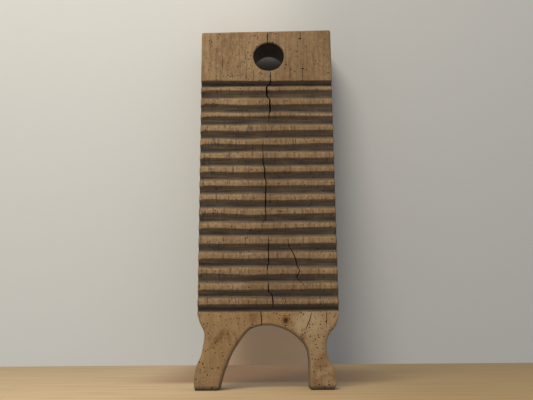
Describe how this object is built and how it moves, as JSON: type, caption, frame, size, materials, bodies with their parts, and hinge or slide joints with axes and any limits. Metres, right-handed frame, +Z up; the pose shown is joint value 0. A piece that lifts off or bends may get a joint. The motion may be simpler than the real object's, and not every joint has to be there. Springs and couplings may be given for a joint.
{
  "type": "ribbed scraper board",
  "caption": "One-piece carved wooden board with cross ribs to scrape, a round hand hole in its head and two short legs either side of an arch.",
  "frame": {"origin": "under the middle of the whole piece, at the height of its soles", "axes": "+Z up along the grain, +Y from the ribbed face to the plain back, +X to the right as seen facing the ribs"},
  "size_m": [0.2238, 0.06, 0.5919],
  "materials": {
    "weathered_wood": "dry, bare and weathered, with dark grooves"
  },
  "bodies": {
    "root": {"ribbed_board": "weathered_wood"}
  },
  "joints": []
}
